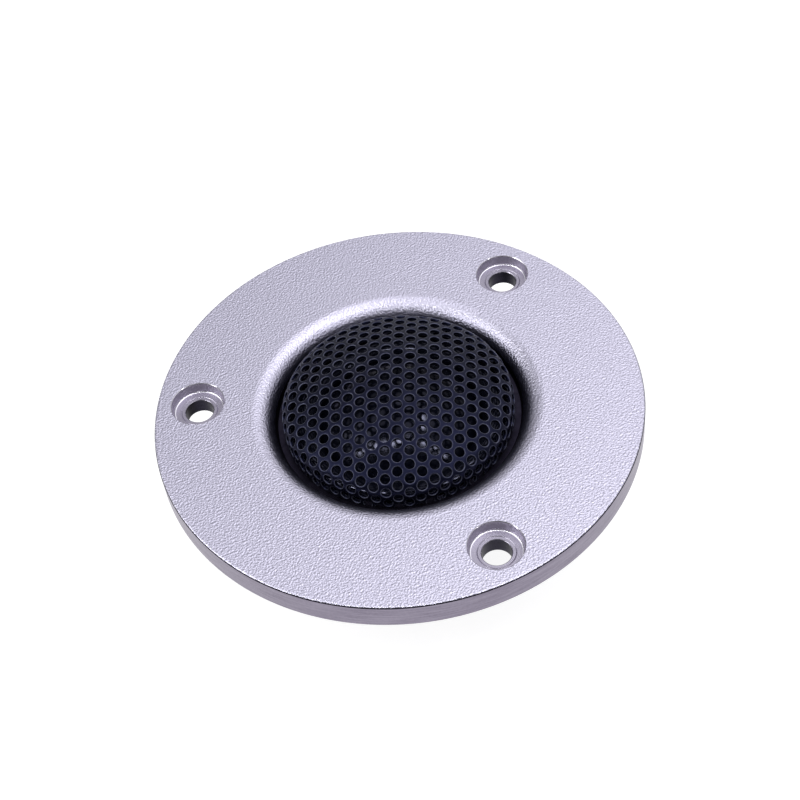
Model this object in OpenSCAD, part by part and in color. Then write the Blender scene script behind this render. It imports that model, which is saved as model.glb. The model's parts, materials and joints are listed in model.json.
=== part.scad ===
// Car tweeter for flush mounting: a cast flange with a domed, perforated grille,
// a soft dome on a voice coil, a cup magnet motor and a closed rear chamber.
// Millimetres. +Z is the way the sound goes, and Z = 0 is the flange's rear face.

/* [Mounting flange] */
// Outside diameter of the flange
flange_d = 76; // [74:0.5:84]
// Thickness of the flange
flange_t = 4.5; // [4:0.1:5.5]
// Rounding of the flange's outer edges
edge_round = 0.35; // [0.2:0.05:0.5]
// Width of the foam gasket in the flange's rear face
gasket_w = 3.2; // [2:0.1:3.4]
// Thickness of the foam gasket, half of it sunk in its groove
gasket_t = 1.2; // [0.8:0.1:1.6]

/* [Mounting holes] */
// Diameter of the circle that the mounting holes lie on
hole_circle_d = 63; // [62:0.5:64]
// Direction of the first mounting hole, in degrees from +X
first_hole_angle = 30; // [25:1:35]
// Diameter of a mounting hole
screw_hole_d = 4.5; // [4:0.1:5]
// Diameter of the counterbore at the flange's front face
counterbore_d = 8.4; // [8:0.1:9]
// Depth of the counterbore
counterbore_depth = 1.75; // [1.5:0.05:2.4]

/* [Mouth of the flange] */
// Diameter of the throat, below the rounded mouth
throat_d = 38; // [38:0.1:38.4]
// Radius of the rounded mouth
mouth_round = 3.9; // [3.5:0.1:4]
// Bore of the ledge that the grille stands on
ledge_bore_d = 34.4; // [34:0.1:35]
// Height of the ledge's top above the flange's rear face
ledge_t = 1.2; // [1:0.1:1.4]

/* [Grille] */
// Outside diameter of the grille's skirt
grille_d = 36.2; // [36:0.1:37.4]
// Radius of the grille's domed face
grille_dome_r = 39.1; // [37:0.1:42]
// Height of the dome's top above the flange's front face
grille_rise = 5.15; // [4.9:0.05:6]
// Thickness of the grille's sheet metal
sheet_t = 0.6; // [0.5:0.1:0.7]
// Bend radius from the domed face to the skirt
shoulder_round = 2.5; // [2:0.1:3]
// Diameter of a perforation
perforation_d = 1.6; // [1.2:0.1:1.7]
// Distance between neighbouring perforations
perforation_pitch = 2.2; // [2.1:0.1:2.6]
// Direction of the rows of perforations, in degrees from +X
perforation_turn = 2.4; // [0:0.1:30]
// How far the nearest perforation is off the centre, along X and Y
perforation_offset = [0.15, -0.53]; // [-1:0.01:1]

/* [Diaphragm] */
// Diameter of the dome, where the voice coil joins it
dome_d = 25.5; // [25.5:0.1:25.6]
// Rise of the dome
dome_rise = 6.5; // [5:0.1:6.6]
// Thickness of the coated fabric
fabric_t = 0.25; // [0.15:0.05:0.3]
// Width of the half roll round the dome
roll_w = 4; // [3.6:0.1:4]
// Height of the voice coil's former
former_h = 4.5; // [4.4:0.1:4.6]
// Wall of the voice coil's former
former_wall = 0.15; // [0.1:0.01:0.15]
// Depth of the copper winding on the former
winding_wall = 0.35; // [0.25:0.05:0.35]
// Length of the copper winding
winding_h = 2.6; // [2:0.1:2.7]

/* [Motor] */
// Outside diameter of the steel cup
cup_d = 33; // [33:0.1:33.4]
// Depth of the steel cup, from its rim to its floor's rear face
cup_h = 10; // [9.5:0.1:10.3]
// Thickness of the cup's floor
cup_floor_t = 3; // [2.5:0.1:3.5]
// Inside diameter of the cup, which is the gap's outer wall
gap_d = 26.6; // [26.6:0.1:27]
// Diameter of the pole plate
pole_d = 23.8; // [23.4:0.1:23.8]
// Thickness of the pole plate
pole_t = 3; // [2.6:0.1:3.2]
// Diameter of the ring magnet
magnet_d = 24; // [22:0.5:24]
// Diameter of the vent through the motor
vent_d = 8; // [5:0.5:9]
// Thickness of the copper cap on the pole plate
copper_t = 0.3; // [0.2:0.05:0.3]

/* [Chassis ring] */
// Outside diameter of the ring that goes through the panel
spigot_d = 49; // [49:0.1:49.2]
// Height of the chassis ring
chassis_h = 6.6; // [6.2:0.1:6.6]
// Outside diameter of the diaphragm's plastic ring
carrier_d = 38.8; // [38.6:0.1:38.8]
// Distance of the three assembly screws from the axis
assembly_screw_r = 21.5; // [21.4:0.1:21.6]

/* [Rear chamber] */
// Outside diameter of the rear can
can_d = 35.2; // [35:0.1:35.4]
// Distance from the flange's rear face to the can's end
can_end = 18; // [17:0.5:20]
// Thickness of the can's floor
can_floor_t = 1.4; // [1:0.1:2]
// Thickness of the seal between the can and the chassis ring
seal_t = 0.5; // [0.4:0.1:0.8]

/* [Terminals] */
// Direction of the terminal board, in degrees from +X
board_angle = 150; // [140:1:160]
// Thickness of the terminal board
board_t = 1.6; // [1.2:0.1:1.6]
// Width and thickness of the positive tab
positive_tab = [4.8, 0.8]; // [0.5:0.1:5]
// Width and thickness of the negative tab
negative_tab = [2.8, 0.5]; // [0.5:0.1:5]
// How far the tabs stand out from the board
tab_h = 7.3; // [6:0.1:8]

/* [Hidden] */

$fn = 96;
// Facets of the two shallow domes' arcs, and of one perforation
arc_facets = 180;
perforation_facets = 24;
// Overshoot of a cutting tool past the face that it opens
over = 1;

// The mounting holes alternate with the three assembly screws
hole_count = 3;

// How far the voice coil's former stands inside the dome's edge, which is turned over it
former_step = 0.1;

// Radii
flange_r = flange_d / 2;
throat_r = throat_d / 2;
grille_r = grille_d / 2;
dome_r = dome_d / 2;
roll_r = dome_r + roll_w / 2;
roll_end_r = dome_r + roll_w;
former_r = dome_r - former_step;
cup_r = cup_d / 2;
gap_r = gap_d / 2;
pole_r = pole_d / 2;
vent_r = vent_d / 2;
carrier_r = carrier_d / 2;
spigot_r = spigot_d / 2;
can_r = can_d / 2;

// Heights
carrier_z = -1.6;
cup_floor_z = carrier_z - cup_h + cup_floor_t;
pole_z = carrier_z - pole_t;
board_z = -chassis_h - board_t;
grille_top = flange_t + grille_rise;

// The grille's shoulder: the centre of its bend, where that lies from the ball's centre, and
// how far the dome reaches along the metal before the bend starts
dome_centre_z = grille_top - grille_dome_r;
shoulder_ball_r = grille_dome_r - shoulder_round;
shoulder_r = grille_r - shoulder_round;
shoulder_angle = asin(shoulder_r / shoulder_ball_r);
shoulder_z = dome_centre_z + shoulder_ball_r * cos(shoulder_angle);
dome_reach = shoulder_angle * PI / 180 * grille_dome_r;

// The gasket, and the groove that holds half of it
gasket_in_r = 25.2;
gasket_out_r = gasket_in_r + gasket_w;

// The step that keeps the spigot's top clear of the gasket
spigot_step_h = 0.9;
spigot_step = 0.5;

// Screws: M2.5 for the assembly and M2 for the terminal board. Washers and heads are
// given as [diameter, height], and a socket by the diameter over its corners.
assembly_screw_d = 2.5;
assembly_angles = [for (i = [0:2]) board_angle - 60 + 120 * i];
assembly_blind = 2.6;
assembly_washer = [5.5, 0.5];
assembly_head = [4.5, 2];
assembly_socket_d = 2.2;
assembly_play = 0.3;
board_screw_d = 2;
board_screw_grip = 3.4;
board_head = [3.4, 1.2];
board_socket_d = 1.5;
board_play = 0.2;

// The terminal board and what is fixed to it
board_in_r = 18.2;
board_out_r = 24;
board_half_angle = 26;
board_mid_r = (board_in_r + board_out_r) / 2;
positive_angle = board_angle + 16.5;
negative_angle = board_angle - 14;
tab_foot = [18.9, 23.6];
rivet_d = 1.8;
rivet_r = 20.3;
rivet_head = [2.6, 0.5];

// The two lead wires, from the voice coil to the terminal board
lead_d = 0.4;
// Glue line between the voice coil's former and what is bonded to its outside
glue_t = 0.05;
lead_angles = [board_angle - 9, board_angle + 9];
lead_z = -1;
lead_r = 21.4;
lead_slot_w = 1.2;
lead_slot_z = -0.6;
lead_hole_d = 2 * lead_d;
solder_r = 0.9;

// What a quarter round of radius r leaves over at a square corner that points to +X +Y
module corner_waste(r) {
    difference() {
        square(r + over);
        circle(r);
    }
}

// A ring or a disc, from its inside and outside radii and its two heights
module ring(in_r, out_r, low, high) {
    translate([0, 0, low])
        difference() {
            cylinder(r = out_r, h = high - low);
            if (in_r > 0)
                translate([0, 0, -over])
                    cylinder(r = in_r, h = high - low + 2 * over);
        }
}

// Repeats its children at each of the angles, at distance r from the axis
module at_angles(angles, r) {
    for (a = angles)
        rotate(a)
            translate([r, 0, 0])
                children();
}

// A box on the axis's +X side: from and to are radii, low and high are heights
module bar(from, to, width, low, high) {
    translate([from, -width / 2, low])
        cube([to - from, width, high - low]);
}

// A machine screw with a hexagon socket, its head's seat at Z = 0 and its end at +Z
module socket_screw(d, length, head, socket_d) {
    head_edge = 0.3;
    socket_depth = 0.6 * head[1];
    difference() {
        union() {
            cylinder(d = d, h = length);
            rotate_extrude()
                difference() {
                    translate([0, -head[1]])
                        square([head[0] / 2, head[1]]);
                    translate([head[0] / 2 - head_edge, head_edge - head[1]])
                        mirror([0, 1])
                            corner_waste(head_edge);
                }
        }
        translate([0, 0, -head[1] - over])
            cylinder(d = socket_d, h = socket_depth + over, $fn = 6);
    }
}

// Half section of the flange, without its holes
module plate_section() {
    difference() {
        translate([ledge_bore_d / 2, 0])
            square([flange_r - ledge_bore_d / 2, flange_t]);
        // Outer edges
        translate([flange_r - edge_round, flange_t - edge_round])
            corner_waste(edge_round);
        translate([flange_r - edge_round, edge_round])
            mirror([0, 1])
                corner_waste(edge_round);
        // Throat above the ledge, and the rounded mouth
        translate([0, ledge_t])
            square([throat_r, flange_t]);
        translate([throat_r + mouth_round, flange_t - mouth_round])
            intersection() {
                mirror([1, 0])
                    corner_waste(mouth_round);
                translate([-mouth_round - over, ledge_t - flange_t + mouth_round])
                    square([mouth_round + over, flange_t + over]);
            }
        // Groove of the gasket
        translate([gasket_in_r, -over])
            square([gasket_w, gasket_t / 2 + over]);
    }
}

// One mounting hole: a tapered counterbore with a broken edge, and a chamfered through hole
module mounting_hole() {
    seat_z = flange_t - counterbore_depth;
    taper = 0.4;
    edge = 0.1;
    chamfer = 0.15;
    translate([0, 0, -over])
        cylinder(d = screw_hole_d, h = flange_t);
    translate([0, 0, seat_z - chamfer])
        cylinder(d1 = screw_hole_d, d2 = screw_hole_d + 2 * chamfer, h = chamfer);
    translate([0, 0, seat_z])
        cylinder(d1 = counterbore_d - taper, d2 = counterbore_d, h = counterbore_depth);
    translate([0, 0, flange_t - edge])
        cylinder(d1 = counterbore_d, d2 = counterbore_d + 4 * edge, h = 2 * edge);
}

module face_plate() {
    hole_angles = [for (i = [0:hole_count - 1]) first_hole_angle + 360 / hole_count * i];
    color("#c6c3cc")
        difference() {
            rotate_extrude()
                plate_section();
            at_angles(hole_angles, hole_circle_d / 2)
                mounting_hole();
            translate([0, 0, -over])
                at_angles(assembly_angles, assembly_screw_r)
                    cylinder(d = assembly_screw_d, h = assembly_blind + over);
        }
}

// Half section of the grille's solid outline, set in from its outside by inset
module grille_outline(inset, low) {
    skin_r = grille_dome_r - inset;
    meet_r = shoulder_r * skin_r / shoulder_ball_r;
    intersection() {
        translate([0, dome_centre_z])
            circle(skin_r, $fn = arc_facets);
        translate([0, low])
            square([meet_r, grille_top - low]);
    }
    translate([0, low])
        square([grille_r - inset, shoulder_z - low]);
    translate([shoulder_r, shoulder_z])
        circle(shoulder_round - inset);
}

// Where the perforations lie: a hexagonal field laid on the sheet, so that its rows keep
// their pitch along the metal. Each entry is [distance along the sheet, direction].
function perforation_sites(reach) =
    let (n = ceil(reach / perforation_pitch) + 2)
    [
        for (i = [-n:n], j = [-n:n])
            let (
                u = perforation_pitch * (i + j / 2),
                v = perforation_pitch * j * sqrt(3) / 2,
                x = u * cos(perforation_turn) - v * sin(perforation_turn) + perforation_offset[0],
                y = u * sin(perforation_turn) + v * cos(perforation_turn) + perforation_offset[1]
            )
            if (norm([x, y]) < reach) [norm([x, y]), atan2(y, x)]
    ];

// A punch square to the sheet, at so far along it from the grille's centre
module punch(along) {
    // Long enough to pass through the curved sheet at any perforation
    punch_h = 4 * sheet_t;
    on_dome = along < dome_reach;
    tilt = on_dome ? along / dome_reach * shoulder_angle
                   : shoulder_angle + (along - dome_reach) / shoulder_round * 180 / PI;
    translate(on_dome ? [0, 0, dome_centre_z] : [shoulder_r, 0, shoulder_z])
        rotate([0, tilt, 0])
            translate([0, 0, (on_dome ? grille_dome_r : shoulder_round) - punch_h / 2])
                cylinder(d = perforation_d, h = punch_h, $fn = perforation_facets);
}

module grille() {
    shoulder_reach = (90 - shoulder_angle) * PI / 180 * shoulder_round;
    color("#1b1b1f")
        difference() {
            rotate_extrude()
                difference() {
                    grille_outline(0, ledge_t);
                    grille_outline(sheet_t, ledge_t - over);
                }
            for (site = perforation_sites(dome_reach + shoulder_reach - perforation_d / 2))
                rotate(site[1])
                    punch(site[0]);
        }
}

module gasket() {
    color("#242424")
        ring(gasket_in_r, gasket_out_r, -gasket_t / 2, gasket_t / 2);
}

// The ring that the surround is bonded to, notched for the lead wires
module diaphragm_carrier() {
    color("#202124")
        difference() {
            ring(cup_r, carrier_r, carrier_z, -fabric_t);
            at_angles(lead_angles, 0)
                bar(cup_r - over, carrier_r + over, lead_slot_w, carrier_z - over, lead_slot_z);
        }
}

module chassis_ring() {
    color("#26272a")
        difference() {
            union() {
                ring(0, spigot_r, -chassis_h, -spigot_step_h);
                ring(0, spigot_r - spigot_step, -chassis_h, 0);
            }
            translate([0, 0, -chassis_h - over])
                cylinder(r = cup_r, h = chassis_h + 2 * over);
            translate([0, 0, carrier_z])
                cylinder(r = carrier_r, h = over - carrier_z);
            translate([0, 0, -chassis_h - over])
                at_angles(assembly_angles, assembly_screw_r)
                    cylinder(d = assembly_screw_d + assembly_play, h = chassis_h + 2 * over);
            // Channels and holes of the lead wires
            at_angles(lead_angles, 0)
                bar(carrier_r - over, lead_r, lead_slot_w, carrier_z, over);
            translate([0, 0, -chassis_h - over])
                at_angles(lead_angles, lead_r)
                    cylinder(d = lead_slot_w, h = chassis_h + 2 * over);
            // Pilot hole of the terminal board's screw
            translate([0, 0, -chassis_h - over])
                at_angles([board_angle], board_mid_r)
                    cylinder(d = board_screw_d, h = board_screw_grip + over);
        }
}

module yoke_cup() {
    rim_round = 0.4;
    color("#b4b5b8")
        rotate_extrude()
            difference() {
                translate([vent_r, carrier_z - cup_h])
                    square([cup_r - vent_r, cup_h]);
                translate([0, cup_floor_z])
                    square([gap_r, cup_h]);
                translate([cup_r - rim_round, carrier_z - cup_h + rim_round])
                    mirror([0, 1])
                        corner_waste(rim_round);
            }
}

module magnet() {
    color("#a9abb0")
        ring(vent_r, magnet_d / 2, cup_floor_z, pole_z);
}

module pole_plate() {
    color("#9fa1a6")
        ring(vent_r, pole_r, pole_z, carrier_z);
}

// A thin cap over the pole plate's face and edge
module copper_cap() {
    color("#b8734a")
        rotate_extrude()
            difference() {
                translate([vent_r, pole_z])
                    square([pole_r + copper_t - vent_r, pole_t + copper_t]);
                translate([0, pole_z - over])
                    square([pole_r, pole_t + over]);
            }
}

module dome_felt() {
    felt_t = 2;
    felt_r = 10.5;
    color("#55565a")
        ring(vent_r, felt_r, carrier_z + copper_t, carrier_z + copper_t + felt_t);
}

module vent_plug() {
    plug_h = 2.5;
    color("#5b5c60")
        ring(0, vent_r, pole_z - plug_h, pole_z);
}

module chamber_wool() {
    side_gap = 0.5;
    gap_to_cup = 0.4;
    color("#d8d5cb")
        ring(0, cup_r - side_gap, can_floor_t - can_end, carrier_z - cup_h - gap_to_cup);
}

module rear_can() {
    end_round = 1;
    color("#8f9197")
        rotate_extrude()
            difference() {
                translate([0, -can_end])
                    square([can_r, can_end - chassis_h - seal_t]);
                translate([0, can_floor_t - can_end])
                    square([cup_r, can_end]);
                translate([can_r - end_round, end_round - can_end])
                    mirror([0, 1])
                        corner_waste(end_round);
            }
}

module can_seal() {
    color("#1e1e1e")
        ring(cup_r, can_r, -chassis_h - seal_t, -chassis_h);
}

module terminal_board() {
    color("#7a5a33")
        difference() {
            rotate(board_angle - board_half_angle)
                rotate_extrude(angle = 2 * board_half_angle)
                    translate([board_in_r, board_z])
                        square([board_out_r - board_in_r, board_t]);
            translate([0, 0, board_z - over]) {
                at_angles([positive_angle, negative_angle], rivet_r)
                    cylinder(d = rivet_d, h = board_t + 2 * over);
                at_angles(lead_angles, lead_r)
                    cylinder(d = lead_hole_d, h = board_t + 2 * over);
                at_angles([board_angle], board_mid_r)
                    cylinder(d = board_screw_d + board_play, h = board_t + 2 * over);
            }
        }
}

// One tab: a foot on the board, and a blade with a latch hole and a bevelled end.
// size is the tab's width and thickness.
module tab(angle, size) {
    end_bevel = 0.8;
    latch_hole_d = 1.3;
    end_z = board_z - tab_h;
    blade = [
        [-size[0] / 2, board_z],
        [size[0] / 2, board_z],
        [size[0] / 2, end_z + end_bevel],
        [size[0] / 2 - end_bevel, end_z],
        [end_bevel - size[0] / 2, end_z],
        [-size[0] / 2, end_z + end_bevel]
    ];
    color("#cdb98a")
        rotate(angle)
            difference() {
                union() {
                    bar(tab_foot[0], tab_foot[1], size[0], board_z - size[1], board_z);
                    translate([tab_foot[1], 0, 0])
                        rotate([90, 0, -90])
                            linear_extrude(size[1])
                                polygon(blade);
                }
                translate([tab_foot[1] - size[1] - over, 0, end_z + tab_h / 3])
                    rotate([0, 90, 0])
                        cylinder(d = latch_hole_d, h = size[1] + 2 * over);
                translate([rivet_r, 0, board_z - size[1] - over])
                    cylinder(d = rivet_d, h = size[1] + 2 * over);
            }
}

module tab_positive() {
    tab(positive_angle, positive_tab);
}

module tab_negative() {
    tab(negative_angle, negative_tab);
}

module rivet(foot_t) {
    translate([rivet_r, 0, board_z - foot_t])
        cylinder(d = rivet_d, h = board_t + foot_t);
    translate([rivet_r, 0, board_z - foot_t - rivet_head[1]])
        cylinder(d1 = rivet_head[0] - rivet_head[1], d2 = rivet_head[0], h = rivet_head[1]);
}

module terminal_rivets() {
    color("#c4b078") {
        rotate(positive_angle)
            rivet(positive_tab[1]);
        rotate(negative_angle)
            rivet(negative_tab[1]);
    }
}

module board_screw() {
    color("#8a8c90")
        rotate(board_angle)
            translate([board_mid_r, 0, board_z])
                socket_screw(board_screw_d, board_t + board_screw_grip, board_head, board_socket_d);
}

module assembly_screws() {
    end_gap = 0.2;
    grip = chassis_h + assembly_washer[1] + assembly_blind - end_gap;
    color("#6f7176")
        translate([0, 0, -chassis_h - assembly_washer[1]])
            at_angles(assembly_angles, assembly_screw_r)
                socket_screw(assembly_screw_d, grip, assembly_head, assembly_socket_d);
}

module assembly_washers() {
    color("#b9babd")
        at_angles(assembly_angles, assembly_screw_r)
            ring(assembly_screw_d / 2, assembly_washer[0] / 2, -chassis_h - assembly_washer[1], -chassis_h);
}

// A low bead of solder from each lead wire to the foot beside it
module solder_joints() {
    tabs = [[negative_angle, negative_tab], [positive_angle, positive_tab]];
    color("#c9cbd0")
        for (i = [0, 1])
            difference() {
                rotate(lead_angles[i])
                    translate([lead_r, 0, board_z])
                        intersection() {
                            sphere(solder_r);
                            translate([0, 0, -solder_r])
                                cylinder(r = solder_r, h = solder_r);
                        }
                rotate(lead_angles[i])
                    translate([lead_r, 0, board_z - over])
                        cylinder(d = lead_d, h = 2 * over);
                rotate(tabs[i][0])
                    bar(tab_foot[0], tab_foot[1], tabs[i][1][0], board_z - tabs[i][1][1], board_z + over);
            }
}

// The half roll, with a cuff round the voice coil's former and a flange on the carrier
module surround() {
    cuff_h = 0.7;
    edge_gap = 0.5;
    color("#111114")
        rotate_extrude() {
            translate([roll_r, 0])
                intersection() {
                    difference() {
                        circle(roll_w / 2);
                        circle(roll_w / 2 - fabric_t);
                    }
                    translate([-roll_w / 2, 0])
                        square([roll_w, roll_w / 2]);
                }
            translate([former_r + glue_t, -cuff_h])
                square([dome_r + fabric_t - former_r - glue_t, cuff_h]);
            translate([roll_end_r - fabric_t, -fabric_t])
                square([carrier_r - edge_gap - roll_end_r + fabric_t, fabric_t]);
        }
}

// Each lead wire runs out under the roll, then down to the terminal board
module lead_wires() {
    wire_end = 0.5;
    start_r = former_r + glue_t;
    end_z = board_z - wire_end;
    color("#c98b5a")
        at_angles(lead_angles, 0) {
            translate([start_r, 0, lead_z])
                rotate([0, 90, 0])
                    cylinder(d = lead_d, h = lead_r - start_r);
            translate([lead_r, 0, lead_z])
                sphere(d = lead_d);
            translate([lead_r, 0, end_z])
                cylinder(d = lead_d, h = lead_z - end_z);
        }
}

module dome() {
    // Radius of the sphere that the dome is cut from
    ball_r = (pow(dome_r, 2) + pow(dome_rise, 2)) / (2 * dome_rise);
    color("#0d0d10")
        rotate_extrude()
            intersection() {
                translate([0, dome_rise - ball_r])
                    difference() {
                        circle(ball_r, $fn = arc_facets);
                        circle(ball_r - fabric_t, $fn = arc_facets);
                    }
                square([dome_r, dome_rise]);
            }
}

module coil_former() {
    color("#d9d5c4")
        ring(former_r - former_wall, former_r, -former_h, 0);
}

module coil_winding() {
    tail = 0.1;
    color("#b5651d")
        ring(former_r, former_r + winding_wall, tail - former_h, tail - former_h + winding_h);
}

face_plate();
grille();
gasket();
diaphragm_carrier();
chassis_ring();
yoke_cup();
magnet();
pole_plate();
copper_cap();
dome_felt();
vent_plug();
chamber_wool();
rear_can();
can_seal();
terminal_board();
tab_positive();
tab_negative();
terminal_rivets();
board_screw();
assembly_screws();
assembly_washers();
solder_joints();
surround();
lead_wires();
dome();
coil_former();
coil_winding();
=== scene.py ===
# %% [markdown]
# A car tweeter for flush mounting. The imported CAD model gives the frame: which pieces there are, where
# they lie and what moves. This file gives that frame its looks. Lengths are worked out in millimetres,
# as on the drawing, and become metres only where a mesh or a pattern is made.

import json
import math

import bmesh
import bpy
from mathutils import Matrix, Vector
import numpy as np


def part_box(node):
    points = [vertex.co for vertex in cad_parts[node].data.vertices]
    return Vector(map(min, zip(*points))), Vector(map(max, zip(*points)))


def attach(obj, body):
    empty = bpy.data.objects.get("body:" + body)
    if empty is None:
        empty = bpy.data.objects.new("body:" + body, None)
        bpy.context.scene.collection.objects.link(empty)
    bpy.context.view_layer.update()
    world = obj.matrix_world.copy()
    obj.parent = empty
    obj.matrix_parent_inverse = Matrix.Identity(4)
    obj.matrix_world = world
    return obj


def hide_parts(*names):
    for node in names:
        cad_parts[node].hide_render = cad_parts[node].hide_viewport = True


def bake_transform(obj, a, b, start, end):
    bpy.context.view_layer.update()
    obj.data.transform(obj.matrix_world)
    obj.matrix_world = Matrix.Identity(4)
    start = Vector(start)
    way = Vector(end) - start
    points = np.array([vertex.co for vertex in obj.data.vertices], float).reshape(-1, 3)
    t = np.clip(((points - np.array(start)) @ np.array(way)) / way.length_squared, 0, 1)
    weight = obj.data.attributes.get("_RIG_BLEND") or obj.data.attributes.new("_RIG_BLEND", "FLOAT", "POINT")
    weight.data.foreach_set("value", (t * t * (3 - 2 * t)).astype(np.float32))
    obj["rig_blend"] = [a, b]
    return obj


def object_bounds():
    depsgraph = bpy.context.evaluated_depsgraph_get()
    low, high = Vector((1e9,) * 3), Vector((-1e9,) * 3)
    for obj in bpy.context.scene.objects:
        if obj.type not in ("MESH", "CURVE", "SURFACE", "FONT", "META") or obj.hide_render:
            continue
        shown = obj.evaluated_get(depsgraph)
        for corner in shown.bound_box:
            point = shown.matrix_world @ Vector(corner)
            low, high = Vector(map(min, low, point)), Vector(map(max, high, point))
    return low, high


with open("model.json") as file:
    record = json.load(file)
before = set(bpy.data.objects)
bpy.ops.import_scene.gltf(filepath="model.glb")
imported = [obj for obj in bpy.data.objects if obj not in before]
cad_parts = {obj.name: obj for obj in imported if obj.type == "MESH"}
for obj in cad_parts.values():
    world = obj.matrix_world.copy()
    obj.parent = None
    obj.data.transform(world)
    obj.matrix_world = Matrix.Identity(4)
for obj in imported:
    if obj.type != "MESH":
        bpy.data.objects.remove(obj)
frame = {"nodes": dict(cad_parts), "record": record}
cad_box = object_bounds()
scene = bpy.context.scene
MM = 0.001
print("CAD box, mm:", [[round(x / MM, 2) for x in corner] for corner in cad_box])

# %% [markdown]
# The mesh tools. Nearly every piece of a loudspeaker is turned, drawn or moulded round one axis, so the
# main tool is a lathe: it takes half of the cut-through outline and spins it. Spinning the exact
# outline keeps every fillet and groove round, which a stack of primitives would not.


# %% Outline and lathe
def arc(r, z, radius, start, end, steps=6):
    """Points on an arc round (r, z), from one direction to another, in degrees."""
    turn = [math.radians(start + (end - start) * i / steps) for i in range(steps + 1)]
    return [(r + radius * math.cos(t), z + radius * math.sin(t)) for t in turn]


def put(name, mesh):
    """Links a mesh to the scene as a piece."""
    piece = bpy.data.objects.new(name, mesh)
    scene.collection.objects.link(piece)
    return piece


def lathe(name, outline, turns=192):
    """Spins a closed outline of (radius, height) points in mm, listed anticlockwise, round the Z axis."""
    verts = []
    rings = []
    for r, z in outline:
        count = turns if r > 1e-6 else 1
        rings.append(range(len(verts), len(verts) + count))
        for k in range(count):
            t = 2 * math.pi * k / turns
            verts.append((r * math.cos(t) * MM, r * math.sin(t) * MM, z * MM))
    faces = []
    for low, high in zip(rings, rings[1:] + rings[:1]):
        for k in range(turns):
            under = [low[k % len(low)], low[(k + 1) % len(low)]]
            above = [high[(k + 1) % len(high)], high[k % len(high)]]
            face = list(dict.fromkeys(under + above))
            if len(face) > 2:
                faces.append(face)
    mesh = bpy.data.meshes.new(name)
    mesh.from_pydata(verts, [], faces)
    return put(name, mesh)


# %% [markdown]
# More mesh tools. One settles an object: its modifiers are turned into a plain mesh. One shades it:
# smooth over round stretches, sharp over real edges, with large flat faces kept flat. One takes a CAD
# node as the blank of a piece, because a small moulded or stamped part only needs its edges broken.
# One mends a mesh after a cut, one drills, and one says what a piece rides on and which CAD node it
# stands for.


# %% Settle, shade, blank, mend, drill and fit
def settle(piece):
    """Makes the result of the piece's modifiers its plain mesh."""
    graph = bpy.context.evaluated_depsgraph_get()
    shown = piece.evaluated_get(graph)
    piece.data = bpy.data.meshes.new_from_object(shown, preserve_all_data_layers=True, depsgraph=graph)
    piece.data.name = piece.name
    piece.modifiers.clear()
    return piece


def shade(piece, sharp=35):
    """Smooth shading, broken at edges sharper than so many degrees, weighted by face size."""
    mesh = piece.data
    mesh.shade_smooth()
    mesh.set_sharp_from_angle(angle=math.radians(sharp))
    even = piece.modifiers.new("even", "WEIGHTED_NORMAL")
    even.keep_sharp = True
    return settle(piece)


def blank(name, node, edge=0.08, sharp=35):
    """A copy of a CAD node with its edges broken by edge mm."""
    piece = put(name, frame["nodes"][node].data.copy())
    piece.data.materials.clear()
    form = bmesh.new()
    form.from_mesh(piece.data)
    bmesh.ops.remove_doubles(form, verts=form.verts, dist=0.0005 * MM)
    bmesh.ops.dissolve_limit(form, angle_limit=math.radians(0.5), verts=form.verts, edges=form.edges)
    form.to_mesh(piece.data)
    form.free()
    if edge:
        broken = piece.modifiers.new("broken edges", "BEVEL")
        broken.width = edge * MM
        broken.segments = 2
        broken.limit_method = "ANGLE"
        broken.angle_limit = math.radians(sharp)
        settle(piece)
    return piece


def mend(piece, weld=0.0):
    """Turns all faces outward, after welding points that are closer than weld mm."""
    form = bmesh.new()
    form.from_mesh(piece.data)
    if weld:
        bmesh.ops.remove_doubles(form, verts=form.verts, dist=weld * MM)
    bmesh.ops.recalc_face_normals(form, faces=form.faces)
    form.to_mesh(piece.data)
    form.free()


def drill(piece, outline, turns, angle=0, distance=0):
    """Cuts a spun outline out of the piece, at so many degrees from +X and mm from the axis."""
    cutter = lathe("cutter", outline, turns)
    way = math.radians(angle)
    cutter.data.transform(Matrix.Translation(Vector((math.cos(way), math.sin(way), 0)) * distance * MM))
    step = piece.modifiers.new("cut", "BOOLEAN")
    step.operation = "DIFFERENCE"
    step.solver = "EXACT"
    step.object = cutter
    settle(piece)
    bpy.data.objects.remove(cutter)


def fit(piece, node, finish=None, body="root"):
    """Gives the piece its finish, its body and its place in the frame, in the CAD node's stead."""
    if finish:
        piece.data.materials.clear()
        piece.data.materials.append(finish)
    if body:
        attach(piece, body)
    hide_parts(node)


# %% [markdown]
# The node tools. Both geometry and materials are node trees, and one small function adds a node to
# either: its settings go in as words, and its inputs as a table of values and of other nodes' outputs.
# A colour is written as the hex value that a painter would read off a chart, and one function turns it
# into the linear numbers that the shader counts with. No real surface is even, and for many of them one
# grain is enough, so one function makes a material with a grain.


# %% Node tools
def add(tree, kind, inputs=None, to=None, **settings):
    """Adds a node, sets it, links it, and returns its outputs.

    inputs maps a socket's name or number to a value or to another node's output. to is a socket that
    the node's first output feeds."""
    made = tree.nodes.new(kind)
    for key, value in settings.items():
        setattr(made, key, value)
    for key, value in (inputs or {}).items():
        if isinstance(value, bpy.types.NodeSocket):
            tree.links.new(value, made.inputs[key])
        else:
            made.inputs[key].default_value = value
    if to:
        tree.links.new(made.outputs[0], to)
    return made.outputs


def paint(code):
    """The linear colour of an sRGB hex value."""
    parts = [int(code[i : i + 2], 16) / 255 for i in (1, 3, 5)]
    return [p / 12.92 if p <= 0.04045 else ((p + 0.055) / 1.055) ** 2.4 for p in parts] + [1]


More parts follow.
